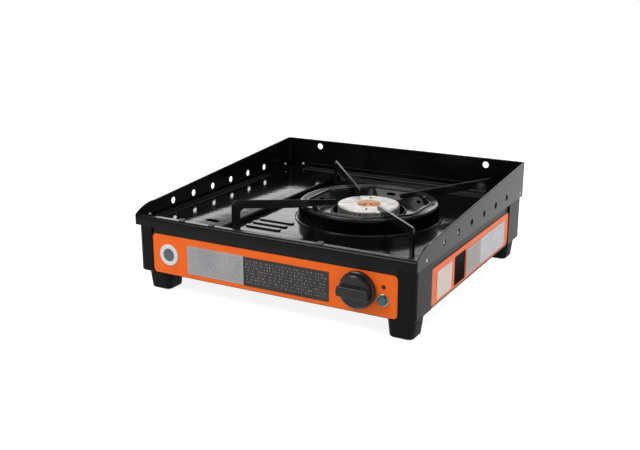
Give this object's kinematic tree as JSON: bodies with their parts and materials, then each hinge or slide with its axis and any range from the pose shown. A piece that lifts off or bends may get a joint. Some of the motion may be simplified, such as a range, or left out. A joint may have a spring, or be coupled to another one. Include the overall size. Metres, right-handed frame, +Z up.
{
  "type": "butane cassette stove",
  "caption": "Portable gas stove: square enamelled tray with a windscreen on three sides, round burner, four-arm pan support, lidded cartridge bay, knob and igniter.",
  "frame": {"origin": "on the table, under the middle of the whole stove, knob included", "axes": "+Z up, +Y to the back, +X to the user's right"},
  "size_m": [0.35, 0.3586, 0.1195],
  "materials": {
    "tray_enamel": "glossy black enamel",
    "lid_enamel": "glossy black enamel",
    "arm_enamel": "glossy black enamel",
    "windscreen_paint": "satin black stoved paint",
    "housing_paint": "satin black stoved paint",
    "bare_steel": "zinc plated sheet",
    "rivet_steel": "bare steel",
    "screw_steel": "blackened steel",
    "post_plastic": "moulded, fine grain",
    "foot_rubber": "moulded",
    "orange_paint": "gloss orange",
    "silver_film": "plain film",
    "black_film": "plain film",
    "patch_film": "plain film",
    "grey_film": "plain film",
    "pale_film": "plain film",
    "badge_plastic": "moulded",
    "cast_aluminium": "as cast",
    "head_aluminium": "cast and polished",
    "centre_brass": "heat stained",
    "brass": "machined",
    "copper": "drawn copper tube",
    "cast_zinc": "die cast",
    "magnet": "sintered",
    "cartridge_paint": "plain pale grey",
    "knob_plastic": "moulded",
    "button_plastic": "moulded",
    "chrome_trim": "plated",
    "piezo_plastic": "moulded",
    "white_ceramic": "stands for fired white ceramic",
    "lead_rubber": "silicone"
  },
  "bodies": {
    "stove": {"tray": "tray_enamel", "windscreen": "windscreen_paint", "windscreen_rivets": "rivet_steel", "lip_screws": "screw_steel", "foot_screws": "screw_steel", "base_pan": "housing_paint", "cartridge_tray": "housing_paint", "front_panel": "housing_paint", "back_panel": "housing_paint", "left_panel": "housing_paint", "right_panel": "housing_paint", "heat_shield": "bare_steel", "corner_post_front_left": "post_plastic", "corner_post_front_right": "post_plastic", "corner_post_back_left": "post_plastic", "corner_post_back_right": "post_plastic", "foot_front_left": "foot_rubber", "foot_front_right": "foot_rubber", "foot_back_left": "foot_rubber", "foot_back_right": "foot_rubber", "front_trim": "orange_paint", "side_trim": "orange_paint", "front_silver_blank": "silver_film", "front_black_blank": "black_film", "side_patch": "patch_film", "side_grey_blank": "grey_film", "side_pale_blank": "pale_film", "badge": "badge_plastic", "burner_cup": "cast_aluminium", "burner_head": "head_aluminium", "burner_centre": "centre_brass", "burner_bridge": "bare_steel", "regulator": "cast_zinc", "regulator_magnet": "magnet", "regulator_bracket": "bare_steel", "lid_hinge_brackets": "bare_steel", "lid_hinge_pins": "rivet_steel", "gas_valve": "brass", "gas_inlet_tube": "copper", "jet_tube": "copper", "jet": "brass", "jet_bracket": "bare_steel", "igniter_bezel": "chrome_trim", "piezo_unit": "piezo_plastic", "electrode_insulator": "white_ceramic", "spark_wire": "rivet_steel", "electrode_clip": "bare_steel", "ignition_lead": "lead_rubber"},
    "pan_support": {"wind_ring": "tray_enamel", "support_arm_front_left": "arm_enamel", "support_arm_front_right": "arm_enamel", "support_arm_back_left": "arm_enamel", "support_arm_back_right": "arm_enamel"},
    "knob": {"knob": "knob_plastic", "valve_spindle": "rivet_steel"},
    "igniter_button": {"igniter_button": "button_plastic"},
    "lid": {"lid": "lid_enamel"},
    "cartridge": {"cartridge": "cartridge_paint", "cartridge_collar": "bare_steel", "cartridge_stem": "brass"}
  },
  "joints": [
    {"name": "knob_turn", "type": "hinge", "parent": "stove", "child": "knob", "pos_m": [0.11, -0.1622, 0.047], "axis": [0, 1, 0], "range_deg": [0, 130]},
    {"name": "igniter_press", "type": "slide", "parent": "stove", "child": "igniter_button", "axis": [0, 1, 0], "range_m": [0, 0.004], "stiffness_N_per_m": 400, "springref_m": -0.003},
    {"name": "lid_open", "type": "hinge", "parent": "stove", "child": "lid", "pos_m": [-0.159, 0.0068, 0.0752], "axis": [0, -1, 0], "range_deg": [0, 95]},
    {"name": "cartridge_pull", "type": "slide", "parent": "stove", "child": "cartridge", "axis": [0, 1, 0], "range_m": [0, 0.012]},
    {"name": "pan_support_lift", "type": "slide", "parent": "stove", "child": "pan_support", "axis": [0, 0, 1], "range_m": [0, 0.04]}
  ]
}
